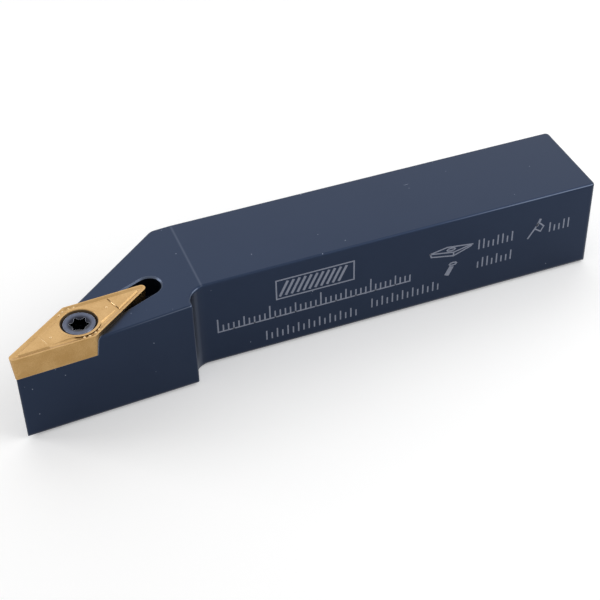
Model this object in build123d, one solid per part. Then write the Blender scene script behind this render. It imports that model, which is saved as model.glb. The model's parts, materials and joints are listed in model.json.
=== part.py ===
from build123d import *
import math
import os

# A screw-clamp turning tool holder for outside work, right hand. It holds a 35 degree
# rhombic indexable insert by one countersunk screw. +X runs from the tail end to the
# cutting nose, +Y is the cutting side and +Z is up. The origin is the middle of the
# shank's clamping length, on the bottom seat. All sizes are millimetres and degrees.

# Holder, driving dimensions
OVERALL_LENGTH = 114.3        # tail end to the cutting nose
SHANK_WIDTH = 19.05           # far side face to near side face
SHANK_HEIGHT = 19.05          # bottom seat to top face
HEAD_LENGTH = 35.5            # cutting nose back to the crease across the top
FUNCTIONAL_WIDTH = 25.4       # far side face to the cutting nose
LEAD_ANGLE = 3.0              # how far the side cutting edge leans from the shank's length
TOP_SLOPE = 3.0               # fall of the head's top face towards the nose
SHOULDER_SETBACK = 32.6       # cutting nose back to the shoulder face
SHOULDER_RADIUS = 3.4         # hollow round between the shank and the shoulder
SHOULDER_CORNER = 0.5         # round on the head's outer rear corner
FAR_CORNER_RADIUS = 2.0       # round where the far side meets the oblique front face
HEAD_NOSE_RADIUS = 0.4        # round on the upright edge under the cutting nose
SIDE_INSET = 0.03             # the head's side faces stand this far inside the insert's foot
FOOT_ROUND = 1.2              # round on every edge of the bottom seat
TOP_ROUND = 0.5               # round on the upper edges of the shank and head
TAIL_ROUND = 0.9              # round on the upright edges of the tail end

# Insert
INSCRIBED_CIRCLE = 9.525
POINT_ANGLE = 35.0
INSERT_THICKNESS = 4.76
FLANK_ANGLE = 5.0
NOSE_RADIUS = 0.8
INSERT_HOLE = 4.4             # diameter of the straight hole through the insert
COUNTERSINK_DIAMETER = 6.7    # mouth of the cone on the insert's top
COUNTERSINK_ANGLE = 60.0      # included angle, the same on the screw's head
RIM_ROUND = 0.15              # round on the mouth of the cone
EDGE_HONE = 0.05              # round on the cutting edges

# The insert's pressed chip-breaker, heights from the groove's floor
LAND_WIDTH = 0.25             # flat strip behind the cutting edge
GROOVE_DEPTH = 0.2            # cutting edge down to the groove's floor
GROOVE_RUN = 0.5              # width over which the floor is reached from the land
ISLAND_HEIGHT = 0.18
RISER_RUN = 0.22              # how far an island's sides lean in over its height
MIDDLE_INSET = 1.25           # insert's edge to the foot of the middle island
MIDDLE_LEVEL = 3.9            # hole's centre to the end of the middle island's level top
MIDDLE_REACH = 7.0            # hole's centre to where that island runs out
CORNER_INSET = 0.8            # insert's edge to the foot of an island in a sharp corner
CORNER_START = 7.2            # hole's centre to the step up on that island
CORNER_ROUND = 0.3
COLLAR_DIAMETER = 7.7         # raised ring round the hole, as high as the cutting edge

# Pocket
SEAT_CLEARANCE = 0.02         # between the insert's flanks and the pocket's walls
RELIEF_WIDTH = 4.76           # slot that frees the insert's inner corner
RELIEF_REACH = 1.2            # inner corner of the insert forward to the slot's end centre
RELIEF_BREAK = 0.25           # chamfer on the slot's upper edge

# Clamp screw
SCREW_LENGTH = 10.0           # top of the head to the tip
THREAD_DIAMETER = 4.0
THREAD_CLEARANCE = 0.05       # radial, screw to hole
HEAD_DIAMETER = 5.9
HEAD_BAND = 0.12              # straight band round the head above its cone
HEAD_EDGE = 0.15              # chamfer on the head's upper edge
CONE_CLEARANCE = 0.03         # radial, head cone to countersink
TIP_CHAMFER = 0.5
SOCKET_ACROSS = 3.35          # six-lobe socket, over two opposite lobes
SOCKET_WAIST = 2.4            # six-lobe socket, between two opposite valleys
SOCKET_LOBE = 0.24            # radius of a lobe
SOCKET_DEPTH = 1.6
SOCKET_LEAD = 4.5             # mouth of the cone that leads into the socket
SOCKET_LEAD_ANGLE = 120.0
SOCKET_TURN = 22.0            # the tightened screw's lobes, from the insert's long axis
HOLE_RUN_OUT = 2.5            # tapped hole past the screw's tip
HOLE_CHAMFER = 0.3
DRILL_ANGLE = 118.0

TOLERANCE = 0.001             # for picking edges by their place


# Places that follow from the sizes
seat_length = OVERALL_LENGTH - HEAD_LENGTH
tail_x = -seat_length / 2
crease_x = seat_length / 2
nose_x = tail_x + OVERALL_LENGTH
shoulder_x = nose_x - SHOULDER_SETBACK
far_y = -SHANK_WIDTH / 2
near_y = SHANK_WIDTH / 2
nose_y = far_y + FUNCTIONAL_WIDTH
half_point = POINT_ANGLE / 2
diagonal_angle = LEAD_ANGLE + half_point
edge_z = SHANK_HEIGHT
floor_z = edge_z - INSERT_THICKNESS
flank_run = INSERT_THICKNESS * math.tan(math.radians(FLANK_ANGLE))


def sine(angle):
    return math.sin(math.radians(angle))


def cosine(angle):
    return math.cos(math.radians(angle))


def tangent(angle):
    return math.tan(math.radians(angle))


# The nose arc touches x = nose_x and y = nose_y; the sharp corner lies beyond it.
nose_centre = Vector(nose_x - NOSE_RADIUS, nose_y - NOSE_RADIUS)
long_axis = Vector(cosine(diagonal_angle), sine(diagonal_angle))
sharp_corner = nose_centre + long_axis * (NOSE_RADIUS / sine(half_point))
half_diagonal = INSCRIBED_CIRCLE / 2 / sine(half_point)
insert_centre = sharp_corner - long_axis * half_diagonal
head_corner = sharp_corner - long_axis * ((flank_run + SIDE_INSET) / sine(half_point))
pocket_half_width = INSCRIBED_CIRCLE / 2 - flank_run + SEAT_CLEARANCE
pocket_inner = pocket_half_width / sine(half_point)
relief_end = RELIEF_REACH - half_diagonal
cone_slope = tangent(COUNTERSINK_ANGLE / 2)

# The screw's cone stops CONE_CLEARANCE short of the countersink, measured across the axis.
band_drop = (COUNTERSINK_DIAMETER - HEAD_DIAMETER) / 2 / cone_slope - CONE_CLEARANCE / cone_slope
screw_top = edge_z - band_drop + HEAD_EDGE + HEAD_BAND


def rhombus(inset, corner_radius):
    """The insert's outline in plan, moved in by inset, about the origin, nose on +X."""
    half_width = INSCRIBED_CIRCLE / 2 - inset
    tip = half_width / sine(half_point)
    flank = half_width / cosine(half_point)
    outline = Polyline((tip, 0), (0, flank), (-tip, 0), (0, -flank), close=True)
    return fillet(make_face(outline).vertices(), corner_radius)


def on_insert(shape, height):
    """Turn a shape drawn about the origin to the insert's place, at a height."""
    spot = Location((insert_centre.X, insert_centre.Y, height), (0, 0, diagonal_angle))
    return spot * shape


def line_crossing(point, angle, x=None, y=None):
    """Where a line through point at an angle reaches a given x or a given y."""
    if x is not None:
        return (x, point.Y + (x - point.X) * tangent(angle))
    return (point.X + (y - point.Y) / tangent(angle), y)


def holder_outline(with_corners=True):
    """Plan of the shank and head: the head's faces run parallel to the insert's edges.
    Without its small outer corners, a foot round larger than they are can run past them."""
    far_end = line_crossing(head_corner, LEAD_ANGLE + POINT_ANGLE, y=far_y)
    rear_end = line_crossing(head_corner, LEAD_ANGLE, x=shoulder_x)
    corners = (
        (tail_x, far_y),
        far_end,
        (head_corner.X, head_corner.Y),
        rear_end,
        (shoulder_x, near_y),
        (tail_x, near_y),
    )
    step_depth = rear_end[1] - near_y
    rounds = [
        (far_end, FAR_CORNER_RADIUS),
        (corners[4], min(SHOULDER_RADIUS, 0.98 * (step_depth - SHOULDER_CORNER))),
    ]
    if with_corners:
        rounds += [(corners[0], TAIL_ROUND), (corners[5], TAIL_ROUND), (rear_end, SHOULDER_CORNER)]
    face = make_face(Polyline(*corners, close=True))
    for place, radius in rounds:
        face = fillet(face.vertices().sort_by_distance(place)[0], radius)
    return face


def above_slope():
    """Everything over the head's sloping top, with that plane carried on over the shank."""
    reach = 2 * OVERALL_LENGTH
    tilt = (cosine(TOP_SLOPE), 0, -sine(TOP_SLOPE))
    upright = (sine(TOP_SLOPE), 0, cosine(TOP_SLOPE))
    slope = Plane((crease_x, 0, SHANK_HEIGHT), tilt, upright)
    return extrude(slope * Rectangle(2 * reach, 4 * FUNCTIONAL_WIDTH), reach)


def round_rim(body):
    """Rounds every edge of a body's top face."""
    top = body.faces().filter_by(lambda face: face.normal_at().Z > 0.9)
    return fillet(top.edges(), TOP_ROUND)


def footed_blank():
    """The outline with sharp outer corners and a rounded foot."""
    body = extrude(holder_outline(with_corners=False), SHANK_HEIGHT)
    return fillet(body.faces().sort_by(Axis.Z)[0].edges(), FOOT_ROUND)


def level_blank():
    """The outline at the shank's height, with its rim rounded."""
    return round_rim(extrude(holder_outline(), SHANK_HEIGHT))


def sloping_blank():
    """The same outline under the sloping plane, so that its rim is rounded along the slope."""
    rise = OVERALL_LENGTH * tangent(TOP_SLOPE)
    return round_rim(extrude(holder_outline(), SHANK_HEIGHT + rise) - above_slope())


def holder_blank():
    """The shank and head before the pocket is milled: what the three blanks share."""
    return level_blank() & sloping_blank() & footed_blank()


def pocket_cut():
    """The room for the insert: two walls that lean as its flanks do, open to the front."""
    side = pocket_half_width / cosine(half_point)
    front = half_diagonal + INSCRIBED_CIRCLE
    corners = ((-pocket_inner, 0), (0, side), (front, side), (front, -side), (0, -side))
    plan = Polyline(*corners, close=True)
    height = INSERT_THICKNESS + NOSE_RADIUS
    return extrude(on_insert(make_face(plan), floor_z), height, taper=-FLANK_ANGLE)


def relief_cut():
    """Slot along the insert's long diagonal that frees its inner corner."""
    front = RELIEF_WIDTH / 2 / tangent(half_point) - pocket_inner
    slot = Pos((relief_end + front) / 2, 0) * SlotCenterToCenter(front - relief_end, RELIEF_WIDTH)
    return extrude(on_insert(slot, floor_z), SHANK_HEIGHT)


def tapped_hole():
    """Blind hole for the clamp screw, open at the pocket's floor."""
    radius = THREAD_DIAMETER / 2 + THREAD_CLEARANCE
    depth = floor_z - (screw_top - SCREW_LENGTH) + HOLE_RUN_OUT
    point = radius / tangent(DRILL_ANGLE / 2)
    profile = Polyline(
        (0, 0),
        (radius + HOLE_CHAMFER, 0),
        (radius, -HOLE_CHAMFER),
        (radius, -depth),
        (0, -depth - point),
        close=True,
    )
    return on_insert(revolve(Plane.XZ * make_face(profile), Axis.Z), floor_z)


def nose_trim():
    """Rounds the upright edge under the cutting nose."""
    centre = head_corner - long_axis * (HEAD_NOSE_RADIUS / sine(half_point))
    side_normal = Vector(-sine(LEAD_ANGLE), cosine(LEAD_ANGLE))
    front_normal = Vector(sine(LEAD_ANGLE + POINT_ANGLE), -cosine(LEAD_ANGLE + POINT_ANGLE))
    side = centre + side_normal * HEAD_NOSE_RADIUS
    front = centre + front_normal * HEAD_NOSE_RADIUS
    tip = centre + long_axis * HEAD_NOSE_RADIUS
    beyond = (side + side_normal, head_corner + long_axis * NOSE_RADIUS, front + front_normal)
    rim = [Polyline(side, *beyond, front), ThreePointArc(front, tip, side)]
    return extrude(make_face(rim), SHANK_HEIGHT)


def on_top(point):
    """Whether a point lies on the head's sloping top face."""
    height = SHANK_HEIGHT - (point.X - crease_x) * tangent(TOP_SLOPE)
    return abs(point.Z - height) < TOLERANCE


def from_slot_line(point):
    """Distance in plan from the middle line of the relief slot, round its inner end too."""
    offset = Vector(point.X, point.Y) - insert_centre - long_axis * relief_end
    forward = offset.dot(long_axis)
    aside = offset.dot(long_axis.rotate(Axis.Z, 90))
    return math.hypot(min(forward, 0), aside)


def relief_edges(body):
    """The slot's upper edge: its round end and its two sides."""
    upper = body.edges().filter_by(lambda edge: all(on_top(edge @ share) for share in (0, 0.5, 1)))
    half_width = RELIEF_WIDTH / 2
    return upper.filter_by(lambda edge: abs(from_slot_line(edge @ 0.5) - half_width) < TOLERANCE)


def make_holder():
    """The whole holder: pocket, relief slot and tapped hole cut into the blank."""
    body = holder_blank() - nose_trim() - pocket_cut() - relief_cut()
    body = chamfer(relief_edges(body), RELIEF_BREAK)
    return body - tapped_hole()


def countersunk_bore():
    """The straight hole and its cone, as a cutter about the origin with its mouth at zero."""
    mouth = COUNTERSINK_DIAMETER / 2
    bore = INSERT_HOLE / 2
    cone_depth = (mouth - bore) / cone_slope
    profile = Polyline(
        (0, GROOVE_DEPTH),
        (mouth, GROOVE_DEPTH),
        (mouth, 0),
        (bore, -cone_depth),
        (bore, -2 * INSERT_THICKNESS),
        (0, -2 * INSERT_THICKNESS),
        close=True,
    )
    return revolve(Plane.XZ * make_face(profile), Axis.Z)


def island(inset, corner_round):
    """A low flat-topped island with leaning sides, standing on the groove's floor."""
    lean = math.degrees(math.atan(RISER_RUN / ISLAND_HEIGHT))
    return extrude(rhombus(inset, corner_round), ISLAND_HEIGHT, taper=lean)


def middle_island():
    """The island round the hole; its top falls away to the floor at both ends."""
    roof = Polyline(
        (-MIDDLE_REACH, 0),
        (-MIDDLE_LEVEL, ISLAND_HEIGHT),
        (MIDDLE_LEVEL, ISLAND_HEIGHT),
        (MIDDLE_REACH, 0),
        close=True,
    )
    envelope = extrude(Plane.XZ * make_face(roof), INSCRIBED_CIRCLE, both=True)
    return island(MIDDLE_INSET, CORNER_ROUND) & envelope


def corner_islands():
    """An island in each sharp corner, with a step across its inner end."""
    whole = island(CORNER_INSET, CORNER_ROUND)
    return whole - Box(2 * CORNER_START, 2 * INSCRIBED_CIRCLE, 2 * GROOVE_DEPTH)


def chip_groove():
    """What the press leaves open behind the cutting edges, about the origin."""
    fall_angle = math.degrees(math.atan(GROOVE_RUN / GROOVE_DEPTH))
    mouth = rhombus(LAND_WIDTH, NOSE_RADIUS - LAND_WIDTH)
    basin = extrude(Pos(0, 0, GROOVE_DEPTH) * mouth, -GROOVE_DEPTH, taper=fall_angle)
    collar = Pos(0, 0, GROOVE_DEPTH) * Cylinder(COLLAR_DIAMETER / 2, 2 * GROOVE_DEPTH)
    return basin - middle_island() - corner_islands() - collar


def make_insert():
    """Rhombic insert: leaning flanks, a pressed chip-breaker and a countersunk hole."""
    body = extrude(on_insert(rhombus(0, NOSE_RADIUS), edge_z), -INSERT_THICKNESS, taper=FLANK_ANGLE)
    body = fillet(body.faces().sort_by(Axis.Z)[-1].edges(), EDGE_HONE)
    body -= on_insert(countersunk_bore(), edge_z)
    circles = body.edges().filter_by(GeomType.CIRCLE)
    mouth = circles.filter_by(lambda edge: abs(edge.radius - COUNTERSINK_DIAMETER / 2) < TOLERANCE)
    return fillet(mouth, RIM_ROUND) - on_insert(chip_groove(), edge_z - GROOVE_DEPTH)


def socket_outline():
    """Six lobes joined by six valleys, all arcs that run smoothly into each other."""
    lobe_centre = SOCKET_ACROSS / 2 - SOCKET_LOBE
    waist = SOCKET_WAIST / 2
    lean = lobe_centre * cosine(30)
    gap = lobe_centre**2 + waist**2 - 2 * lean * waist - SOCKET_LOBE**2
    valley = gap / 2 / (lean + SOCKET_LOBE - waist)
    joint_share = SOCKET_LOBE / (SOCKET_LOBE + valley)
    points = []
    for turn in range(6):
        lobe = Vector(lobe_centre, 0).rotate(Axis.Z, 60 * turn)
        left = Vector(waist + valley, 0).rotate(Axis.Z, 60 * turn - 30)
        right = Vector(waist + valley, 0).rotate(Axis.Z, 60 * turn + 30)
        tip = Vector(SOCKET_ACROSS / 2, 0).rotate(Axis.Z, 60 * turn)
        dip = Vector(waist, 0).rotate(Axis.Z, 60 * turn + 30)
        start = lobe + (left - lobe) * joint_share
        end = lobe + (right - lobe) * joint_share
        points.append((start, tip, end, dip))
    edges = []
    for turn in range(6):
        start, tip, end, dip = points[turn]
        following = points[(turn + 1) % 6][0]
        edges.append(ThreePointArc(start, tip, end))
        edges.append(ThreePointArc(end, dip, following))
    return make_face(edges)


def make_screw():
    """Countersunk clamp screw with a six-lobe socket."""
    shank = THREAD_DIAMETER / 2
    head = HEAD_DIAMETER / 2
    cone_depth = (head - shank) / cone_slope
    band_foot = -HEAD_EDGE - HEAD_BAND
    profile = Polyline(
        (0, 0),
        (head - HEAD_EDGE, 0),
        (head, -HEAD_EDGE),
        (head, band_foot),
        (shank, band_foot - cone_depth),
        (shank, TIP_CHAMFER - SCREW_LENGTH),
        (shank - TIP_CHAMFER, -SCREW_LENGTH),
        (0, -SCREW_LENGTH),
        close=True,
    )
    body = revolve(Plane.XZ * make_face(profile), Axis.Z)
    body -= extrude(Rot(0, 0, SOCKET_TURN) * socket_outline(), -SOCKET_DEPTH)
    lead_depth = SOCKET_LEAD / 2 / tangent(SOCKET_LEAD_ANGLE / 2)
    lead = Polyline((0, 0), (SOCKET_LEAD / 2, 0), (0, -lead_depth), close=True)
    body -= revolve(Plane.XZ * make_face(lead), Axis.Z)
    return on_insert(body, screw_top)


def main():
    os.makedirs("parts", exist_ok=True)
    pieces = {
        "tool_holder": make_holder(),
        "cutting_insert": make_insert(),
        "clamp_screw": make_screw(),
    }
    for name, solid in pieces.items():
        export_step(solid, f"parts/{name}.step")
        print(name, round(solid.volume, 2), solid.is_valid)


if __name__ == "__main__":
    main()
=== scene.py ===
# %% [markdown]
# # A turning tool holder
# The object is a square steel bar with an offset head. One countersunk screw clamps a
# rhombic carbide insert into a pocket at the head's nose. The exact solids are loaded
# first and stay where they are; everything after this step gives them their looks.

# %% Load the fixed solids
import json
import math

import bpy
from mathutils import Matrix, Vector


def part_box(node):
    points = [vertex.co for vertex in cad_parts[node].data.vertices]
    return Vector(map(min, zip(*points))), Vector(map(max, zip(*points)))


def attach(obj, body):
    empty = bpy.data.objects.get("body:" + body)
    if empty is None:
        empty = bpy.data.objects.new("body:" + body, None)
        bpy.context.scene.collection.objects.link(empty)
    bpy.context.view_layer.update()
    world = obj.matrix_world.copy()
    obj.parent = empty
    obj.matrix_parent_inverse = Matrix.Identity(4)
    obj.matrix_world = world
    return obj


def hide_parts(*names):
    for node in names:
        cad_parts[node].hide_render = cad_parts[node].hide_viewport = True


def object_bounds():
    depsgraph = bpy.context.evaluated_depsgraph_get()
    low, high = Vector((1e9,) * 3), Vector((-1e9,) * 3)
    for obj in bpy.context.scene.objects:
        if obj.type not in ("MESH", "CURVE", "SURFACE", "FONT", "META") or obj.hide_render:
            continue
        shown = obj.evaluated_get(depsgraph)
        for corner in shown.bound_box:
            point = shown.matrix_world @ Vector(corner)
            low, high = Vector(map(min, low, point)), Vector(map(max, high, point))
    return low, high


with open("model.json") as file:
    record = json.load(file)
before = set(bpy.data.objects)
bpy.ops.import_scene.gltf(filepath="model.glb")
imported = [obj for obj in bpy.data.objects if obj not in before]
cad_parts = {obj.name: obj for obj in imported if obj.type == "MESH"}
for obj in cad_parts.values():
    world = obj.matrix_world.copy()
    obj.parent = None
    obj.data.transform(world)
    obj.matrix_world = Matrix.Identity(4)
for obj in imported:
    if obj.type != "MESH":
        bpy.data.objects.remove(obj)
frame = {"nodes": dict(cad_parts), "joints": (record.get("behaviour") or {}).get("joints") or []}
cad_low, cad_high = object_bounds()
nodes = frame["nodes"]
scene = bpy.context.scene
scene.view_settings.view_transform = "Standard"
print("solids:", sorted(nodes), "from", cad_low, "to", cad_high)

# %% [markdown]
# ## Units and nodes
# Blender works in metres and in linear light, while drawings give millimetres and colours
# are picked as sRGB hex values. One length and one converter keep both readable below. One
# small function adds any shader node with its settings and links, because a node tree
# written call by call is hard to follow.

# %% Converters and the node helper
MM = 0.001


def linear(hex_colour):
    """An sRGB hex colour as linear red, green, blue and alpha."""
    shares = [int(hex_colour[i:i + 2], 16) / 255 for i in (1, 3, 5)]
    return (*[s / 12.92 if s <= 0.04045 else ((s + 0.055) / 1.055) ** 2.4 for s in shares], 1)


def per_mm(size):
    """A texture's Scale for a pattern whose features are this many millimetres apart."""
    return 1 / (size * MM)


def add_node(tree, kind, inputs=None, **settings):
    """Adds a node, sets its properties, and gives each named input a value or a link."""
    node = tree.nodes.new(kind)
    for name, value in settings.items():
        setattr(node, name, value)
    for name, value in (inputs or {}).items():
        if isinstance(value, bpy.types.NodeSocket):
            tree.links.new(value, node.inputs[name])
        else:
            node.inputs[name].default_value = value
    return node


def new_material(name):
    """An empty node material and its tree."""
    material = bpy.data.materials.new(name)
    material.use_nodes = True
    material.node_tree.nodes.clear()
    return material, material.node_tree


print("1 mm is", MM, "m; mid grey is", round(linear("#808080")[0], 3))

# %% [markdown]
# ## Camera
# A product shot of a hand-sized tool is taken from a quarter of a metre away, from above
# the cutting side, with the nose at the left. The camera could be placed by eye, but a
# target point, two angles, a roll and a distance can each be changed on its own.

# %% Camera
CAMERA_TARGET = Vector((20.970, 9.172, 9.5)) * MM
CAMERA_DISTANCE = 258.994 * MM
CAMERA_AZIMUTH = math.radians(159.866)
CAMERA_ELEVATION = math.radians(40.692)
CAMERA_ROLL = math.radians(-1.522)
FOCAL_LENGTH = 84.777
NEAREST_SEEN = 10 * MM
PICTURE_WIDTH = 600            # pixels


def place_camera():
    """Puts the camera on a sphere round its target, looking at it, then rolls it."""
    flat = math.cos(CAMERA_ELEVATION)
    back = Vector((math.sin(CAMERA_AZIMUTH) * flat, -math.cos(CAMERA_AZIMUTH) * flat,
                   math.sin(CAMERA_ELEVATION)))
    level = Vector((0, 0, 1)).cross(back).normalized()
    turn = Matrix((level, back.cross(level), back)).transposed().to_4x4()
    camera = bpy.data.objects.new("camera", bpy.data.cameras.new("camera"))
    camera.data.lens = FOCAL_LENGTH
    camera.data.clip_start = NEAREST_SEEN
    place = Matrix.Translation(CAMERA_TARGET + back * CAMERA_DISTANCE)
    camera.matrix_world = place @ turn @ Matrix.Rotation(CAMERA_ROLL, 4, "Z")
    scene.collection.objects.link(camera)
    scene.camera = camera
    return camera


camera = place_camera()
print("camera at", camera.matrix_world.translation, "lens", camera.data.lens, "mm")

# %% [markdown]
# ## Floor and backdrop
# A studio shot has a sheet of white paper that runs up behind the object. Lighting a real
# sheet until it is white would burn out the object too. Here only the rays from the camera,
# and those mirrored in metal, are told that the paper is white: the Light Path node tells
# them apart. Every other ray meets plain pale paper, which also keeps the soft shadow.

# %% Floor and world
FLOOR_HALF = 1.5
FLOOR_GAP = 0.02 * MM
PAPER_GLOW = 0.24
SKY_LEVEL = 0.42


def seen_directly(tree):
    """1 for a ray from the camera, or one mirrored or let through on its way, else 0."""
    path = add_node(tree, "ShaderNodeLightPath").outputs
    mirrored = add_node(tree, "ShaderNodeMath",
                        {0: path["Is Glossy Ray"], 1: path["Is Transmission Ray"]}, operation="ADD")
    return add_node(tree, "ShaderNodeMath", {0: path["Is Camera Ray"], 1: mirrored.outputs[0]},
                    operation="ADD", use_clamp=True).outputs[0]


def white_paper():
    """Matt paper with a little glow of its own for the rays that are seen directly."""
    material, tree = new_material("matt_white_paper")
    paper = add_node(tree, "ShaderNodeBsdfDiffuse", {"Color": linear("#f0f0f0")})
    lift = add_node(tree, "ShaderNodeMath", {0: seen_directly(tree), 1: PAPER_GLOW},
                    operation="MULTIPLY")
    glow = add_node(tree, "ShaderNodeEmission", {"Strength": lift.outputs[0]})
    both = add_node(tree, "ShaderNodeAddShader", {0: paper.outputs[0], 1: glow.outputs[0]})
    add_node(tree, "ShaderNodeOutputMaterial", {"Surface": both.outputs[0]})
    return material


def lay_floor():
    """One large sheet just under the object's seat."""
    mesh = bpy.data.meshes.new("floor")
    corners = [(x * FLOOR_HALF, y * FLOOR_HALF, 0) for x, y in ((-1, -1), (1, -1), (1, 1), (-1, 1))]
    mesh.from_pydata(corners, [], [(0, 1, 2, 3)])
    mesh.materials.append(white_paper())
    floor = bpy.data.objects.new("floor", mesh)
    floor.location.z = cad_low.z - FLOOR_GAP
    scene.collection.objects.link(floor)
    return floor


def white_studio():
    """A world that is white where it is seen and dimmer where it lights the object."""
    scene.world = bpy.data.worlds.new("white_studio")
    scene.world.use_nodes = True
    tree = scene.world.node_tree
    tree.nodes.clear()
    level = add_node(tree, "ShaderNodeMapRange",
                     {"Value": seen_directly(tree), "To Min": SKY_LEVEL, "To Max": 1.0})
    sky = add_node(tree, "ShaderNodeBackground", {"Strength": level.outputs[0]})
    sky.inputs["Color"].default_value = (1, 1, 1, 1)
    add_node(tree, "ShaderNodeOutputWorld", {"Surface": sky.outputs[0]})


lay_floor()
white_studio()
print("paper", 2 * FLOOR_HALF, "m wide, sky at", SKY_LEVEL, "for the light it gives")

# %% [markdown]
# ## Softboxes
# Dark satin steel has hardly any colour of its own: it shows what it mirrors. So the lamps
# are large soft sheets, and each stands where one face of the bar mirrors it towards the
# camera. A sky image could light it too, but it would be a file, and its lights couldn't be
# moved one at a time. Each lamp's radiance is given against the white backdrop, which is 1.

# %% Softboxes
LIT_POINT = Vector((20, 0, 10)) * MM


def softbox(name, direction, distance, size, radiance):
    """A square sheet of light that faces the object; metal mirrors it, the camera skips it."""
    lamp = bpy.data.objects.new(name, bpy.data.lights.new(name, "AREA"))
    lamp.data.shape = "SQUARE"
    lamp.data.size = size
    lamp.data.energy = radiance * math.pi * size ** 2
    towards = Vector(direction).normalized()
    lamp.location = LIT_POINT + towards * distance
    lamp.rotation_euler = towards.to_track_quat("Z", "Y").to_euler()
    lamp.visible_camera = False
    scene.collection.objects.link(lamp)
    print(name, "gives", round(lamp.data.energy, 2), "W")


softbox("rear_softbox", (-0.25, -0.70, 0.66), distance=0.75, size=1.0, radiance=0.68)
softbox("tail_softbox", (-0.68, 0.33, 0.65), distance=0.32, size=0.25, radiance=2.4)
softbox("nose_softbox", (0.84, -0.39, 0.37), distance=0.4, size=0.16, radiance=5.0)

# %% [markdown]
# ## Marks that every finish shares
# A metal part that has been used carries a few bright specks and hair scratches, and its sharp
# edges are drawn a little lighter, partly as wear and partly as painted highlight. Painting them by
# hand would need image files. Both come from nodes instead: the specks are the cell centres of a
# Voronoi pattern, which turn into scratches when the pattern is stretched, and the lighter edges
# are where the Bevel node bends the surface's normal. Painted shade darkens the holes and the
# corners.

# %% Specks, scratches, lighter edges, and painted shade in holes and corners
screw_joint = next(joint for joint in frame["joints"] if joint["name"] == "screw_turn")
SCREW_AXIS = Vector((*screw_joint["pos_m"][:2], 0))
EDGE_START, EDGE_FULL = 0.99, 0.85      # cosines between the true and the rounded normal
HOLE_SHADE_FADE = (0.05, -0.1)              # mm above a hole's level where its painted shade starts, and is full


def object_place(tree):
    """Where a point is on the object, in metres; it never slides with the camera."""
    return add_node(tree, "ShaderNodeTexCoord").outputs["Object"]


def flecks(tree, place, spacing, radius, stretch=1.0, turn=(0, 0, 0)):
    """1 inside specks of a radius, about a spacing apart in mm, drawn out along the bar."""
    size = per_mm(spacing)
    # this node scales first and turns after, so a turn only moves the specks to other places
    placed = add_node(tree, "ShaderNodeMapping", {
        "Vector": place, "Rotation": turn, "Scale": (size / stretch, size, size)})
    cells = add_node(tree, "ShaderNodeTexVoronoi", {"Vector": placed.outputs[0], "Scale": 1.0})
    edge = radius / spacing
    return add_node(tree, "ShaderNodeMapRange", {
        "Value": cells.outputs["Distance"], "From Min": edge, "From Max": 0.5 * edge}).outputs[0]


def worn_and_highlit_edges(tree, width, strength):
    """Up to a strength on a corner of the shape, 0 on a face; the width is in mm. The lighter
    corners are partly wear and partly painted highlight.
    """
    rounded = add_node(tree, "ShaderNodeBevel", {"Radius": width * MM}, samples=6)
    true = add_node(tree, "ShaderNodeNewGeometry")
    match = add_node(tree, "ShaderNodeVectorMath",
                     {0: rounded.outputs[0], 1: true.outputs["Normal"]}, operation="DOT_PRODUCT")
    return add_node(tree, "ShaderNodeMapRange", {
        "Value": match.outputs["Value"], "From Min": EDGE_START, "From Max": EDGE_FULL,
        "To Max": strength}).outputs[0]


def hole_shade(tree, place, radius, level):
    """Painted shade mask: 1 within a radius of the screw's axis and below a level, both in mm, else
    0.
    """
    parts = add_node(tree, "ShaderNodeSeparateXYZ", {"Vector": place}).outputs
    flat = add_node(tree, "ShaderNodeCombineXYZ", {"X": parts["X"], "Y": parts["Y"]})
    reach = add_node(tree, "ShaderNodeVectorMath", {0: flat.outputs[0], 1: SCREW_AXIS},
                     operation="DISTANCE")
    near = add_node(tree, "ShaderNodeMath", {0: reach.outputs["Value"], 1: radius * MM},
                    operation="LESS_THAN")
    deep = add_node(tree, "ShaderNodeMapRange", {
        "Value": parts["Z"], "From Min": (level + HOLE_SHADE_FADE[0]) * MM,
        "From Max": (level + HOLE_SHADE_FADE[1]) * MM})
    return add_node(tree, "ShaderNodeMath", {0: near.outputs[0], 1: deep.outputs[0]},
                    operation="MULTIPLY").outputs[0]


def corner_shade(tree, reach):
    """Painted shade: 0 deep in a corner, 1 in the open; the reach is in mm."""
    return add_node(tree, "ShaderNodeAmbientOcclusion", {"Distance": reach * MM},
                    samples=8).outputs["AO"]


def blend_colours(tree, share, first, second):
    """A mix of two colours or links by a share from 0 to 1."""
    return add_node(tree, "ShaderNodeMix", {"Factor": share, 6: first, 7: second},
                    data_type="RGBA").outputs[2]


pixels_per_slope = PICTURE_WIDTH * camera.data.lens / camera.data.sensor_width
print("1 mm on the object is", round(MM * pixels_per_slope / CAMERA_DISTANCE, 1), "pixels")

# %% [markdown]
# ## Blackened steel
# The holder is an alloy steel forging, milled and ground, then boiled in a black oxide bath.
# The bath leaves a thin blue-black skin on the metal: a satin sheen without a clear mirror
# image, slightly cloudy where the bath stood longer, over the fine grain of the ground face.
# So it is a metal with a dark blue base colour, a medium roughness with clouds in it, and a very
# low grain bump. A lighter line along the crease across the top and along the rounded edges at the
# head and the tail is painted highlight, where those rounds would mirror the lamps. The Bevel node
# finds only sharp corners, so these places are picked by where they are and by the way the surface
# faces.

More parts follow.
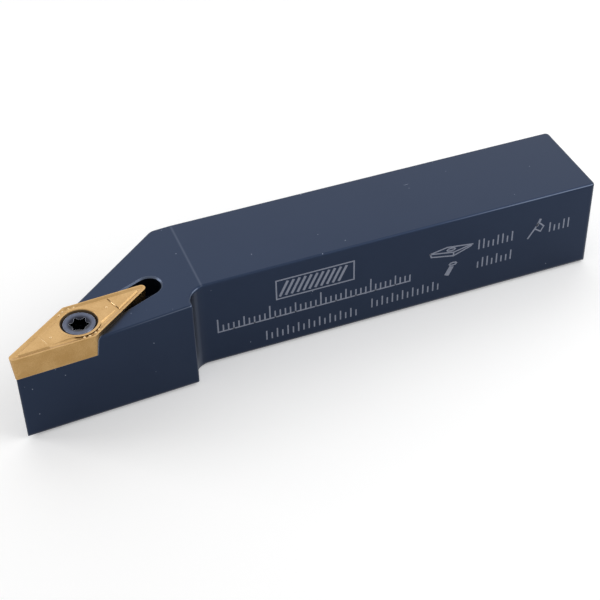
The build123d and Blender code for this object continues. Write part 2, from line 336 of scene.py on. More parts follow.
# %% Painted highlights on the crease and the rounded edges
CREASE_X, CREASE_HALF = 39.4, 0.3
TOP_LEVEL = 18.9              # the crease is drawn only above this
CREASE_HIGHLIGHT = 0.11
TAIL_HIGHLIGHT = (-6.0, -24.0)     # X where the painted highlight on the upper edges starts, and is strongest
HEAD_HIGHLIGHT = (58.0, 44.0)
HEAD_START = 40.2             # X past the crease, where the head's own painted highlight begins at once
ROUND_HIGHLIGHT, UPRIGHT_HIGHLIGHT = 0.21, 0.12
UPRIGHT_FACING = (-1, 1, 0)   # back and out, as the tail's upright edge on the cutting side
HALF_TURNED = math.sqrt(0.5)          # the normal's Z halfway round an upper edge
ROUND_START, ROUND_FULL = 0.16, 0.06  # how far Z may be from that
UPRIGHT_START, UPRIGHT_FULL = 0.94, 0.99


def crease_highlight_line(tree, place):
    """A painted highlight line, up to a set strength, along the ridge where the head's top begins
    to slope.
    """
    parts = add_node(tree, "ShaderNodeSeparateXYZ", {"Vector": place}).outputs
    off = add_node(tree, "ShaderNodeMath", {0: parts["X"], 1: CREASE_X * MM},
                   operation="SUBTRACT")
    away = add_node(tree, "ShaderNodeMath", {0: off.outputs[0]}, operation="ABSOLUTE")
    ridge = add_node(tree, "ShaderNodeMapRange", {
        "Value": away.outputs[0], "From Min": CREASE_HALF * MM, "From Max": 0.0,
        "To Max": CREASE_HIGHLIGHT})
    on_top = add_node(tree, "ShaderNodeMath", {0: parts["Z"], 1: TOP_LEVEL * MM},
                      operation="GREATER_THAN")
    return add_node(tree, "ShaderNodeMath", {0: ridge.outputs[0], 1: on_top.outputs[0]},
                    operation="MULTIPLY").outputs[0]


def facing(tree, direction, start, full):
    """0 to 1 as the surface turns towards a direction; start and full are cosines."""
    normal = add_node(tree, "ShaderNodeNewGeometry").outputs["Normal"]
    match = add_node(tree, "ShaderNodeVectorMath",
                     {0: normal, 1: Vector(direction).normalized()}, operation="DOT_PRODUCT")
    return add_node(tree, "ShaderNodeMapRange", {
        "Value": match.outputs["Value"], "From Min": start, "From Max": full}).outputs[0]


def highlit_rounds(tree, place):
    """Painted highlight halfway round the upper rounded edges near the head and the tail, and a
    weaker one on the upright edges at the back.
    """
    along = add_node(tree, "ShaderNodeSeparateXYZ", {"Vector": place}).outputs["X"]
    tail, head = (add_node(tree, "ShaderNodeMapRange", {
        "Value": along, "From Min": start * MM, "From Max": full * MM,
        "To Max": ROUND_HIGHLIGHT}).outputs[0] for start, full in (TAIL_HIGHLIGHT, HEAD_HIGHLIGHT))
    past_crease = add_node(tree, "ShaderNodeMath", {0: along, 1: HEAD_START * MM},
                           operation="GREATER_THAN")
    on_head = add_node(tree, "ShaderNodeMath", {0: head, 1: past_crease.outputs[0]},
                       operation="MULTIPLY")
    highlit_stretch = add_node(tree, "ShaderNodeMath", {0: tail, 1: on_head.outputs[0]},
                       operation="MAXIMUM")
    rise = add_node(tree, "ShaderNodeSeparateXYZ", {
        "Vector": add_node(tree, "ShaderNodeNewGeometry").outputs["Normal"]}).outputs["Z"]
    off = add_node(tree, "ShaderNodeMath", {0: rise, 1: HALF_TURNED}, operation="SUBTRACT")
    lean = add_node(tree, "ShaderNodeMath", {0: off.outputs[0]}, operation="ABSOLUTE")
    middle = add_node(tree, "ShaderNodeMapRange", {
        "Value": lean.outputs[0], "From Min": ROUND_START, "From Max": ROUND_FULL})
    upper = add_node(tree, "ShaderNodeMath", {0: middle.outputs[0], 1: highlit_stretch.outputs[0]},
                     operation="MULTIPLY")
    upright = add_node(tree, "ShaderNodeMath", {
        0: facing(tree, UPRIGHT_FACING, UPRIGHT_START, UPRIGHT_FULL), 1: UPRIGHT_HIGHLIGHT},
        operation="MULTIPLY")
    return add_node(tree, "ShaderNodeMath", {0: upper.outputs[0], 1: upright.outputs[0]},
                    operation="MAXIMUM").outputs[0]


# the tail's edge that this prints as rubbed is where its painted highlight starts
print("the crease is at X", CREASE_X, "mm and the tail's edge is rubbed from", TAIL_HIGHLIGHT[0])

# %% Blackened steel material
STEEL_DEEP = "#273042"
STEEL_PALE = "#2c3649"
STEEL_WEAR_AND_HIGHLIGHT = "#8f98a8"
STEEL_CLOUD, STEEL_GRAIN = 14, 0.22
CLOUD_LOW, CLOUD_HIGH = 0.3, 0.7
SMOOTH_STEEL, ROUGH_STEEL = 0.34, 0.42
GRAIN_HEIGHT = 0.01


def blackened_steel():
    """Black oxide on ground alloy steel; the grain is drawn at twice its real size."""
    material, tree = new_material("black_oxide_alloy_steel")
    place = object_place(tree)
    clouds = add_node(tree, "ShaderNodeTexNoise", {
        "Vector": place, "Scale": per_mm(STEEL_CLOUD), "Detail": 4.0,
        "Roughness": 0.6}).outputs["Fac"]
    grain = add_node(tree, "ShaderNodeTexNoise", {
        "Vector": place, "Scale": per_mm(STEEL_GRAIN), "Detail": 2.0}).outputs["Fac"]
    skin = blend_colours(tree, clouds, linear(STEEL_DEEP), linear(STEEL_PALE))
    specks = flecks(tree, place, spacing=2.7, radius=0.11)
    scratches = flecks(tree, place, spacing=2.4, radius=0.035, stretch=18, turn=(0, 0, 0.9))
    marks = add_node(tree, "ShaderNodeMath", {0: specks, 1: scratches}, operation="MAXIMUM")
    # specks and scratches are wear; the lighter sharp edges are partly wear and partly painted
    # highlight
    marks_and_lit_edges = add_node(tree, "ShaderNodeMath", {
        0: marks.outputs[0], 1: worn_and_highlit_edges(tree, width=0.2, strength=0.5)},
        operation="MAXIMUM")
    # painted highlight on the crease and on the rounded edges
    lines = add_node(tree, "ShaderNodeMath", {
        0: crease_highlight_line(tree, place), 1: highlit_rounds(tree, place)}, operation="MAXIMUM")
    wear_and_highlights = add_node(tree, "ShaderNodeMath", {0: marks_and_lit_edges.outputs[0], 1: lines.outputs[0]},
                      operation="MAXIMUM")
    # the light colour is wear on the marks and painted highlight on the edges and lines
    colour = blend_colours(tree, wear_and_highlights.outputs[0], skin, linear(STEEL_WEAR_AND_HIGHLIGHT))
    roughness = add_node(tree, "ShaderNodeMapRange", {
        "Value": clouds, "From Min": CLOUD_LOW, "From Max": CLOUD_HIGH,
        "To Min": SMOOTH_STEEL, "To Max": ROUGH_STEEL})
    bump = add_node(tree, "ShaderNodeBump", {
        "Height": grain, "Strength": 0.25, "Distance": GRAIN_HEIGHT * MM})
    steel = add_node(tree, "ShaderNodeBsdfPrincipled", {
        "Base Color": colour, "Metallic": 1.0, "Roughness": roughness.outputs[0],
        "Normal": bump.outputs[0]})
    add_node(tree, "ShaderNodeOutputMaterial", {"Surface": steel.outputs[0]})
    return material


FINISHES = {"blackened_steel": blackened_steel()}
print("the steel's clouds are", STEEL_CLOUD, "mm wide and its grain", STEEL_GRAIN, "mm")

# %% [markdown]
# ## Coated carbide
# The insert is pressed and sintered tungsten carbide, ground on its flanks and then coated
# by vapour with a nitride only a few thousandths of a millimetre thick. The coating gives a
# warm bronze-gold, softer than polished brass, because the carbide's grain shows through.
# As a full metal the pressed top would mirror too sharply, and as paint it would lose its
# gleam. So it is a mix of both, with more of the metal on the smoother ground flanks.

# %% Coated carbide material
GOLD_DEEP = "#ad8853"
GOLD_PALE = "#bd9965"
GOLD_EDGE = "#e2c18c"
GOLD_BORE_SHADE = "#33260f"
GOLD_CORNER_SHADE = "#4a3418"
GOLD_HIGHLIGHT = "#f4d5a4"
GOLD_GRAIN, GOLD_CLOUD = 0.18, 4
TOP_METAL, FLANK_METAL = 0.6, 0.95
TOP_ROUGHNESS, FLANK_ROUGHNESS = 0.33, 0.24
MOTTLE_LOW, MOTTLE_HIGH = 0.15, 0.35
FLANK_START, FLANK_FULL = 0.5, 0.3    # the normal's Z where a flank begins, and is reached
CONE_RADIUS, CONE_LEVEL = 3.4, 18.93
SHADE_REACH, SHADE_FULL, SHADE_NONE = 1.2, 0.35, 0.8


def on_flanks(tree):
    """1 on the ground, upright flanks and 0 on the pressed top."""
    normal = add_node(tree, "ShaderNodeNewGeometry").outputs["Normal"]
    rise = add_node(tree, "ShaderNodeSeparateXYZ", {"Vector": normal}).outputs["Z"]
    steep = add_node(tree, "ShaderNodeMath", {0: rise}, operation="ABSOLUTE")
    return add_node(tree, "ShaderNodeMapRange", {
        "Value": steep.outputs[0], "From Min": FLANK_START, "From Max": FLANK_FULL}).outputs[0]


def coated_carbide():
    """Sintered carbide with a nitride coat; its grain is drawn some 100 times too coarse."""
    material, tree = new_material("vapour_coated_sintered_carbide")
    place = object_place(tree)
    grain = add_node(tree, "ShaderNodeTexNoise", {
        "Vector": place, "Scale": per_mm(GOLD_GRAIN), "Detail": 3.0}).outputs["Fac"]
    clouds = add_node(tree, "ShaderNodeTexNoise", {
        "Vector": place, "Scale": per_mm(GOLD_CLOUD), "Detail": 2.0}).outputs["Fac"]
    mottle = add_node(tree, "ShaderNodeMath", {0: grain, 1: clouds}, operation="MULTIPLY")
    share = add_node(tree, "ShaderNodeMapRange", {
        "Value": mottle.outputs[0], "From Min": MOTTLE_LOW, "From Max": MOTTLE_HIGH})
    gold = blend_colours(tree, share.outputs[0], linear(GOLD_DEEP), linear(GOLD_PALE))
    # the lighter edges are partly wear and partly painted highlight
    body = blend_colours(tree, worn_and_highlit_edges(tree, width=0.10, strength=0.8), gold,
                         linear(GOLD_EDGE))
    # painted shade on the countersink's wall round the screw
    bore_shade = hole_shade(tree, place, radius=CONE_RADIUS, level=CONE_LEVEL)
    bore_shaded = blend_colours(tree, bore_shade, body, linear(GOLD_BORE_SHADE))
    # painted shade in corners, such as where the insert meets the holder and round the screw
    unshaded = add_node(tree, "ShaderNodeMapRange", {
        "Value": corner_shade(tree, reach=SHADE_REACH), "From Min": SHADE_FULL, "From Max": SHADE_NONE})
    colour = blend_colours(tree, unshaded.outputs[0], linear(GOLD_CORNER_SHADE), bore_shaded)
    bump = add_node(tree, "ShaderNodeBump", {
        "Height": grain, "Strength": 0.35, "Distance": GRAIN_HEIGHT * MM})
    flank = on_flanks(tree)
    metal = add_node(tree, "ShaderNodeMapRange", {
        "Value": flank, "To Min": TOP_METAL, "To Max": FLANK_METAL})
    soft = add_node(tree, "ShaderNodeMapRange", {
        "Value": flank, "To Min": TOP_ROUGHNESS, "To Max": FLANK_ROUGHNESS})
    carbide = add_node(tree, "ShaderNodeBsdfPrincipled", {
        "Base Color": colour, "Metallic": metal.outputs[0], "Roughness": soft.outputs[0],
        "Normal": bump.outputs[0]})
    add_node(tree, "ShaderNodeOutputMaterial", {"Surface": carbide.outputs[0]})
    return material


def highlit_carbide():
    """The same coating, lighter and smoother on the knobs: a painted highlight."""
    material, tree = new_material("highlit_carbide_coating")
    grain = add_node(tree, "ShaderNodeTexNoise", {
        "Vector": object_place(tree), "Scale": per_mm(GOLD_GRAIN), "Detail": 3.0}).outputs["Fac"]
    colour = blend_colours(tree, grain, linear(GOLD_PALE), linear(GOLD_HIGHLIGHT))
    # the pale colour is painted highlight
    polished = add_node(tree, "ShaderNodeBsdfPrincipled", {
        "Base Color": colour, "Metallic": 0.5, "Roughness": 0.22})
    add_node(tree, "ShaderNodeOutputMaterial", {"Surface": polished.outputs[0]})
    return material


FINISHES["coated_carbide"] = coated_carbide()
FINISHES["highlit_carbide"] = highlit_carbide()
# the reach printed for oil is the reach of the painted corner shade
print("the coating's grain is", GOLD_GRAIN, "mm and oil stays within", SHADE_REACH, "mm of a corner")

# %% [markdown]
# ## Screw steel
# The clamp screw is turned and rolled from hardened steel with a thin grey-blue oxide. Its
# head is finished on a lathe, which leaves fine rings round its axis. They could be cut into
# the mesh, but a bump needs no more points: it is a Wave pattern of the distance from the
# screw's own axis. Rings as fine as the real ones wouldn't show, so they are broad and faint.

# %% Screw steel material
SCREW_DEEP = "#3e4352"
SCREW_PALE = "#5b606f"
SCREW_WEAR_AND_HIGHLIGHT = "#b8bdca"
SCREW_LEAD_SHADE = "#24252d"
SCREW_SOCKET_SHADE = "#08080c"
RING_SPACING = 1.0053
WAVE_RADIANS = 20             # the Wave node's sine turns this far in one unit of its scale
BLOTCH = 0.8
LEAD_DARK, LEAD_LEVEL = 2.28, 18.64
SOCKET_DARK, SOCKET_LEVEL = 1.8, 18.42


def screw_steel():
    """Lathe-turned hardened steel; its rings are drawn some ten times as far apart."""
    material, tree = new_material("turned_oxidised_screw_steel")
    centred = add_node(tree, "ShaderNodeMapping",
                       {"Vector": object_place(tree), "Location": -SCREW_AXIS})
    wave_scale = 2 * math.pi * per_mm(RING_SPACING) / WAVE_RADIANS
    rings = add_node(tree, "ShaderNodeTexWave", {
        "Vector": centred.outputs[0], "Scale": wave_scale, "Distortion": 0.6},
        wave_type="RINGS", rings_direction="Z").outputs["Fac"]
    blotches = add_node(tree, "ShaderNodeTexNoise", {
        "Vector": centred.outputs[0], "Scale": per_mm(BLOTCH), "Detail": 3.0}).outputs["Fac"]
    mixed = blend_colours(tree, blotches, linear(SCREW_DEEP), linear(SCREW_PALE))
    # painted shade that the insert's countersink casts on the lead cone
    lead = hole_shade(tree, object_place(tree), radius=LEAD_DARK, level=LEAD_LEVEL)
    shaded = blend_colours(tree, lead, mixed, linear(SCREW_LEAD_SHADE))
    # the lighter edges are partly wear and partly painted highlight
    turned = blend_colours(tree, worn_and_highlit_edges(tree, width=0.14, strength=0.85), shaded,
                           linear(SCREW_WEAR_AND_HIGHLIGHT))
    # painted shade deep in the socket
    socket = hole_shade(tree, object_place(tree), radius=SOCKET_DARK, level=SOCKET_LEVEL)
    colour = blend_colours(tree, socket, turned, linear(SCREW_SOCKET_SHADE))
    bump = add_node(tree, "ShaderNodeBump", {
        "Height": rings, "Strength": 0.3, "Distance": GRAIN_HEIGHT * MM})
    steel = add_node(tree, "ShaderNodeBsdfPrincipled", {
        "Base Color": colour, "Metallic": 1.0, "Roughness": 0.3, "Normal": bump.outputs[0]})
    add_node(tree, "ShaderNodeOutputMaterial", {"Surface": steel.outputs[0]})
    return material


FINISHES["screw_steel"] = screw_steel()
for name, finish in (("tool_holder", "blackened_steel"), ("cutting_insert", "coated_carbide"),
                     ("clamp_screw", "screw_steel")):
    for slot in nodes[name].material_slots:
        slot.material = FINISHES[finish]
    print(name, "has", len(nodes[name].material_slots), "slot and", finish)
print("the screw's rings are", RING_SPACING, "mm apart")

# %% [markdown]
# ## Shared mesh helpers
# A turned or pressed shape is a stack of rings, each a closed loop of the same number of
# points, and a flat mark is a short prism. Blender could revolve a curve with a modifier,
# but rings written out as rows of points also allow a shape that isn't round, such as a
# socket or a thread, and every mesh comes out closed.

# %% Piece and ring helpers
SHARP_ANGLE = math.radians(32)


def add_piece(name, points, faces, body, slot, finish):
    """A mesh object with smooth faces and sharp edges, which moves with a body."""
    mesh = bpy.data.meshes.new(name)
    mesh.from_pydata(points, [], faces)
    mesh.shade_smooth()
    mesh.set_sharp_from_angle(angle=SHARP_ANGLE)
    mesh.materials.append(FINISHES[finish])
    piece = bpy.data.objects.new(name, mesh)
    scene.collection.objects.link(piece)
    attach(piece, body)
    print(name, "has", len(mesh.polygons), "faces")
    return piece


def stack_rings(rings, first_pole, last_pole, start=0):
    """Faces between neighbouring rings, closed at both ends by a fan to a pole point."""
    count = len(rings[0])
    points = [first_pole] + [point for ring in rings for point in ring] + [last_pole]
    last = len(points) - 1
    faces = [(start, start + 1 + (i + 1) % count, start + 1 + i) for i in range(count)]
    for row in range(len(rings) - 1):
        low, high = start + 1 + row * count, start + 1 + (row + 1) * count
        for i in range(count):
            j = (i + 1) % count
            faces.append((low + i, low + j, high + j, high + i))
    top = start + 1 + (len(rings) - 1) * count
    faces += [(start + last, top + i, top + (i + 1) % count) for i in range(count)]
    return points, faces


print("edges over", round(math.degrees(SHARP_ANGLE)), "degrees are drawn sharp")

# %% [markdown]
# ## Insert bumps
# The pressed chip-breaker carries a few small knobs that curl the chip: pairs beside the
# blunt corners and one on the long axis at each end. Sculpting them into the insert would
# change a fixed solid. Each is a low closed dome instead, sunk a little into the surface
# that carries it, and all of them ride with the holder as one piece.

# %% Insert bumps
INSERT_TURN = math.radians(20.5)
EDGE_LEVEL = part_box("cutting_insert")[1].z / MM
DOME_POINTS = 20
DOME_SINK = 0.16
DOME_ROOT = DOME_SINK + 0.1
DOME_PROFILE = (  # share of the half width, height below the dome's top
    (1.0, -DOME_ROOT), (1.0, -DOME_SINK), (0.92, -0.10), (0.75, -0.055), (0.5, -0.022),
    (0.25, -0.005),
)
DOME_MARGIN = 0.01            # every dome stays this far below the cutting edge
ON_AXIS = 1.0                 # a dome nearer the long axis than this has no twin across it
DOMES = [  # along the long axis, across it, top below the cutting edge, half length, half width
    (0.60, 4.12, 0.01, 0.28, 0.24),
    (1.50, 3.82, 0.01, 0.28, 0.24),
    (5.75, 0.00, 0.00, 0.26, 0.24),
    (7.15, 0.10, 0.00, 0.12, 1.00),
]


def dome(along, across, drop, half_length, half_width, start):
    """One low dome at a place on the insert, with its foot under the surface."""
    place = Matrix.Translation(SCREW_AXIS) @ Matrix.Rotation(INSERT_TURN, 4, "Z")
    top = EDGE_LEVEL - DOME_MARGIN - drop
    rings = []
    for share, height in DOME_PROFILE:
        ring = []
        for i in range(DOME_POINTS):
            turn = 2 * math.pi * i / DOME_POINTS
            ring.append(place @ (Vector((along + share * half_length * math.cos(turn),
                                         across + share * half_width * math.sin(turn),
                                         top + height)) * MM))
        rings.append(ring)
    low = place @ (Vector((along, across, top - DOME_ROOT)) * MM)
    high = place @ (Vector((along, across, top)) * MM)
    return stack_rings(rings, low, high, start)


def insert_bumps():
    """The same domes in all four quarters of the rhombus."""
    points, faces = [], []
    for along, across, *rest in DOMES:
        for side in (1, -1):
            for flip in ((1, -1) if across > ON_AXIS else (1,)):
                more, rows = dome(side * along, flip * across, *rest, start=len(points))
                points += more
                faces += rows
    # the knobs take the lighter coating, which paints their highlight
    return add_piece("insert_bumps", points, faces, "holder", "coated_carbide", "highlit_carbide")


insert_bumps()

# %% [markdown]
# ## Clamp screw
# The real screw is an M4 with a 60 degree head, a six-lobe socket with a wide lead cone, and
# a rolled thread. The fixed solid has a smooth shank. A mesh made of rings can follow all of
# it: the socket's rings have the six-lobe outline, and each ring of the thread is a little
# wider where the crest passes, so that the crest climbs by one pitch a turn.

# %% Screw sizes and its two outlines
SCREW_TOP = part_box("clamp_screw")[1].z / MM
HEAD_RADIUS, HEAD_EDGE, HEAD_BAND = 2.95, 0.15, 0.12
CONE_FOOT = -1.915
NECK_RADIUS, NECK_FOOT = 1.72, -2.75
THREAD_RADIUS, THREAD_ROOT, PITCH = 2.0, 1.58, 0.7
THREAD_END, TIP_RADIUS, SCREW_LENGTH = -9.5, 1.5, 10.0
RING_POINTS = 96
ROWS_A_PITCH = 10
LOBE_CENTRE, LOBE_RADIUS, WAIST = 1.435, 0.24, 1.2
SOCKET_TURN = math.radians(22)
LEAD_RADIUS, LEAD_SLOPE = 2.25, 0.3
SOCKET_MOUTH, MOUTH_FOOT = 1.07, -0.6  # the mouth is wider by this share, down to this height
SOCKET_DEPTH, FLOOR_ROUND, FLOOR_SHARE, FLOOR_DISH = 1.6, 0.12, 0.92, 0.1
CREST_HALF, ROOT_HALF = 0.0625, 0.125  # half the flat crest and root, as shares of the pitch
TIP_RUN_OUT = 0.4
NECK_STEP, NECK_TOP = 0.05, 0.25


def socket_radius(turn):
    """Distance from the axis to the six-lobe outline, made of arcs that meet smoothly."""
    lean = LOBE_CENTRE * math.cos(math.radians(30))
    gap = LOBE_CENTRE ** 2 + WAIST ** 2 - 2 * lean * WAIST - LOBE_RADIUS ** 2
    valley = gap / 2 / (lean + LOBE_RADIUS - WAIST)
    off_lobe = abs((turn + math.pi / 6) % (math.pi / 3) - math.pi / 6)
    share = LOBE_RADIUS / (LOBE_RADIUS + valley)
    centre = (WAIST + valley) * Vector((math.cos(math.pi / 6), math.sin(math.pi / 6)))
    joint = Vector((LOBE_CENTRE, 0)).lerp(centre, share)
    if off_lobe < math.atan2(joint.y, joint.x):
        across = LOBE_CENTRE * math.sin(off_lobe)
        return LOBE_CENTRE * math.cos(off_lobe) + math.sqrt(LOBE_RADIUS ** 2 - across ** 2)
    off_valley = math.pi / 6 - off_lobe
    across = (WAIST + valley) * math.sin(off_valley)
    return (WAIST + valley) * math.cos(off_valley) - math.sqrt(valley ** 2 - across ** 2)


def thread_radius(height, turn):
    """Radius of a metric thread: 60 degree flanks between a flat crest and a flat root."""
    phase = (height / PITCH - turn / (2 * math.pi)) % 1
    climb = min(1, max(0, (abs(phase - 0.5) - CREST_HALF) / (0.5 - CREST_HALF - ROOT_HALF)))
    run_out = min(1, (NECK_FOOT - height) / PITCH, (height - THREAD_END) / PITCH + TIP_RUN_OUT)
    return THREAD_RADIUS - (THREAD_RADIUS - THREAD_ROOT) * max(climb, 1 - max(0, run_out))


print("socket is", round(2 * socket_radius(0), 2), "mm over its lobes and",
      round(2 * socket_radius(math.pi / 6), 2), "mm over its valleys")

# %% Clamp screw mesh
def screw_ring(radius, height):
    """One ring about the screw's axis; radius may be a number or a function of the turn."""
    ring = []
    for i in range(RING_POINTS):
        turn = 2 * math.pi * i / RING_POINTS
        size = radius(turn) if callable(radius) else radius
        spot = INSERT_TURN + SOCKET_TURN + turn
        drop = height(size) if callable(height) else height
        ring.append(SCREW_AXIS + Vector((size * math.cos(spot), size * math.sin(spot),
                                         SCREW_TOP + drop)) * MM)
    return ring


def clamp_screw():
    """The whole screw from its tip up over the head and down into the socket."""
    rings = [screw_ring(TIP_RADIUS, -SCREW_LENGTH)]
    rows = round((NECK_FOOT - THREAD_END) / PITCH * ROWS_A_PITCH)
    for row in range(rows + 1):
        height = THREAD_END + (NECK_FOOT - THREAD_END) * row / rows
        rings.append(screw_ring(lambda turn: thread_radius(height, turn), height))
    rings += [
        screw_ring(NECK_RADIUS, NECK_FOOT + NECK_STEP),
        screw_ring(NECK_RADIUS, CONE_FOOT - NECK_TOP),
        screw_ring(THREAD_RADIUS, CONE_FOOT),
        screw_ring(HEAD_RADIUS, -HEAD_EDGE - HEAD_BAND),
        screw_ring(HEAD_RADIUS, -HEAD_EDGE),
        screw_ring(HEAD_RADIUS - HEAD_EDGE, 0.0),
        screw_ring(LEAD_RADIUS, 0.0),
        screw_ring(lambda turn: SOCKET_MOUTH * socket_radius(turn),
                   lambda size: (size - LEAD_RADIUS) * LEAD_SLOPE),
        screw_ring(socket_radius, MOUTH_FOOT),
        screw_ring(socket_radius, -SOCKET_DEPTH + FLOOR_ROUND),
        screw_ring(lambda turn: FLOOR_SHARE * socket_radius(turn), -SOCKET_DEPTH),
    ]
    tip = SCREW_AXIS + Vector((0, 0, SCREW_TOP - SCREW_LENGTH)) * MM
    floor = SCREW_AXIS + Vector((0, 0, SCREW_TOP - SOCKET_DEPTH - FLOOR_DISH)) * MM
    piece = add_piece("threaded_clamp_screw", *stack_rings(rings, tip, floor), "screw",
                      "screw_steel", "screw_steel")
    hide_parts("clamp_screw")
    return piece


clamp_screw()

# %% [markdown]
# ## Etched marks
# A laser draws the marks on the cutting side by roughening the black skin, which leaves a
# dull light grey. The layout is a plain one that belongs to no maker: a hatched field, a
# millimetre scale, rows of ticks, and line drawings of an insert, a screw and a key. They
# could be painted with a texture, but strokes built as very thin prisms stay crisp at any
# size. Each is drawn in mm along the side and up it, and stands under 0.01 mm proud.

# %% Etched steel material
ETCHED_DULL = "#737a8b"
ETCHED_PALE = "#9499a8"
ETCHED_GRAIN = 0.3


def etched_steel():
    """Laser-roughened oxide, dull light grey; its grain is drawn some five times too coarse."""
    material, tree = new_material("laser_etched_steel")
    grain = add_node(tree, "ShaderNodeTexNoise", {
        "Vector": object_place(tree), "Scale": per_mm(ETCHED_GRAIN), "Detail": 2.0}).outputs["Fac"]
    colour = blend_colours(tree, grain, linear(ETCHED_DULL), linear(ETCHED_PALE))
    etched = add_node(tree, "ShaderNodeBsdfPrincipled", {
        "Base Color": colour, "Metallic": 0.3, "Roughness": 0.7})
    add_node(tree, "ShaderNodeOutputMaterial", {"Surface": etched.outputs[0]})
    return material


FINISHES["etched_steel"] = etched_steel()
print("the etched grain is", ETCHED_GRAIN, "mm;", len(FINISHES), "finishes in all")

# %% Strokes and thin plates
SIDE_FACE = -cad_low.y / MM   # the shank is as wide on the cutting side as on the far one
STROKE_WIDTH = 0.28
STROKE_PROUD = 0.006
STROKE_STEP = 0.001           # strokes that cross stand at different heights
STROKE_LEVELS = 4
STROKE_SUNK = 0.02


def prism(outline, proud):
    """A thin closed plate on the cutting side, from an outline of (along, up) in mm."""
    points = [Vector((along, SIDE_FACE + out, up)) * MM
              for out in (-STROKE_SUNK, proud) for along, up in outline]
    count = len(outline)
    faces = [tuple(range(count)), tuple(reversed(range(count, 2 * count)))]
    for i in range(count):
        j = (i + 1) % count
        faces.append((i, i + count, j + count, j))
    return points, faces


def stroke(start, end, width=STROKE_WIDTH):
    """A straight stroke with square ends, as an outline for a prism."""
    start, end = Vector(start), Vector(end)
    step = (end - start).normalized() * width / 2
    side = Vector((-step.y, step.x))
    return [tuple(p) for p in (start - step - side, end + step - side, end + step + side,
                               start - step + side)]


def closed_line(*corners):
    """Strokes round a closed figure."""
    return [stroke(corners[i - 1], corners[i]) for i in range(len(corners))]


print("strokes are", STROKE_WIDTH, "mm wide and up to",
      round(STROKE_PROUD + STROKE_STEP * (STROKE_LEVELS - 1), 3), "mm proud")

# %% Rows of ticks and the hatched field
HATCH_INSET, HATCH_LEAN, HATCH_PITCH, HATCH_WIDTH = 0.75, 1.4, 1.15, 0.5
FIELD_TAIL, FIELD_HEAD, FIELD_FOOT, FIELD_TOP = 10.4, 25.6, 11.4, 15.7


def tick_row(start, foot, heights, pitch=1.0):
    """Upright ticks that run towards the tail from a start, standing on one line."""
    return [stroke((start - i * pitch, foot), (start - i * pitch, foot + height))
            for i, height in enumerate(heights)]


def hatched_field():
    """A frame filled with slanted strokes, from its head end to its tail end."""
    lines = closed_line((FIELD_HEAD, FIELD_FOOT), (FIELD_TAIL, FIELD_FOOT),
                        (FIELD_TAIL, FIELD_TOP), (FIELD_HEAD, FIELD_TOP))
    along = FIELD_HEAD - HATCH_INSET
    while along - HATCH_LEAN > FIELD_TAIL + HATCH_INSET:
        lines.append(stroke((along, FIELD_FOOT + HATCH_INSET),
                            (along - HATCH_LEAN, FIELD_TOP - HATCH_INSET), HATCH_WIDTH))
        along -= HATCH_PITCH
    return lines


print("the hatched field takes", len(hatched_field()), "strokes")


# %% Three line drawings
def oval(along, up, half_width, half_height):
    """A small oval in eight strokes."""
    corners = [(along + half_width * math.cos(t * math.pi / 4),
                up + half_height * math.sin(t * math.pi / 4)) for t in range(8)]
    return closed_line(*corners)


def insert_drawing(x, z):
    """A rhombic insert seen from above and the side, with its hole."""
    rim = [(x, z + 1.1), (x - 3.5, z + 1.75), (x - 8.8, z + 1.0), (x - 4.9, z + 0.2)]
    foot = [(x - 0.3, z + 0.3), (x - 4.9, z - 0.65), (x - 8.5, z + 0.65)]
    lines = closed_line(*rim) + [stroke(rim[0], foot[0]), stroke(foot[0], foot[1]),
                                 stroke(rim[3], foot[1]), stroke(foot[1], foot[2])]
    return lines + oval(x - 4.35, z + 1.0, 0.85, 0.32)


def screw_drawing(x, z):
    """A small slanted countersunk screw."""
    body = [(x - 1.0, z + 1.6), (x - 1.9, z + 1.3), (x - 0.9, z - 0.7), (x, z - 0.3)]
    return oval(x - 1.7, z + 2.0, 0.75, 0.32) + [body]


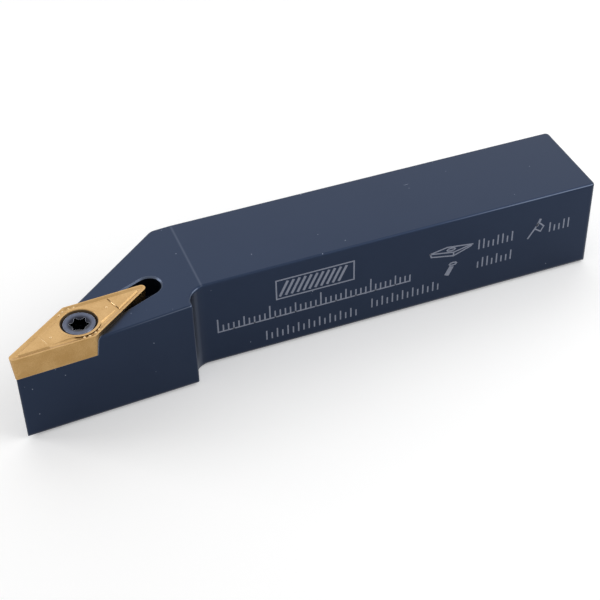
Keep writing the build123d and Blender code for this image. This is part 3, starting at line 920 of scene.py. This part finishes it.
def key_drawing(x, z):
    """A flag-handled key, slanted."""
    flag = [(x - 1.3, z + 1.9), (x - 2.1, z + 3.2), (x - 3.2, z + 2.1), (x - 2.6, z + 1.0)]
    return closed_line(*flag) + [stroke((x, z), (x - 1.6, z + 2.4), 0.34),
                                 stroke((x - 1.8, z + 2.6), (x - 2.3, z + 3.8), 0.5)]


print("the drawings take", [len(draw(0, 0)) for draw in (insert_drawing, screw_drawing,
                                                        key_drawing)], "strokes")

# %% The layout on the cutting side
SCALE_START, SCALE_FOOT, SCALE_COUNT = 37.0, 7.3, 39
SCALE_END = SCALE_START - (SCALE_COUNT - 1)
CENTIMETRE_TICK, HALF_TICK, PLAIN_TICK = 2.9, 2.1, 1.4
SCALE_TICKS = [CENTIMETRE_TICK if i % 10 == 0 else HALF_TICK if i % 5 == 0 else PLAIN_TICK
               for i in range(SCALE_COUNT)]
LINE_PITCH, LINE_TALL = 1.05, 1.9     # the rows under the scale
TALL, SHORT = 2.0, 1.2
DRAWINGS = (
    hatched_field(),
    tick_row(SCALE_START, SCALE_FOOT, SCALE_TICKS),
    [stroke((SCALE_START, SCALE_FOOT), (SCALE_END, SCALE_FOOT))],
    tick_row(27.8, 2.5, [LINE_TALL, SHORT] * 9, pitch=LINE_PITCH),
    tick_row(6.7, 3.4, [LINE_TALL, SHORT] * 7, pitch=LINE_PITCH),
    insert_drawing(-5.0, 11.3),
    tick_row(-15.2, 10.7, [TALL, TALL, SHORT, SHORT, TALL, TALL, SHORT, TALL]),
    screw_drawing(-8.2, 6.7),
    tick_row(-15.2, 6.2, [SHORT, TALL, TALL, SHORT, TALL, SHORT, SHORT, TALL]),
    key_drawing(-25.7, 10.0),
    tick_row(-30.3, 10.4, [TALL, SHORT, SHORT, TALL, TALL]),
)


def etched_marks():
    """Every stroke as its own thin prism, in one piece that rides with the holder."""
    points, faces = [], []
    for i, outline in enumerate(line for drawing in DRAWINGS for line in drawing):
        more, sides = prism(outline, STROKE_PROUD + STROKE_STEP * (i % STROKE_LEVELS))
        start = len(points)
        points += more
        faces += [tuple(start + corner for corner in side) for side in sides]
    return add_piece("etched_marks", points, faces, "holder", "blackened_steel", "etched_steel")


etched_marks()
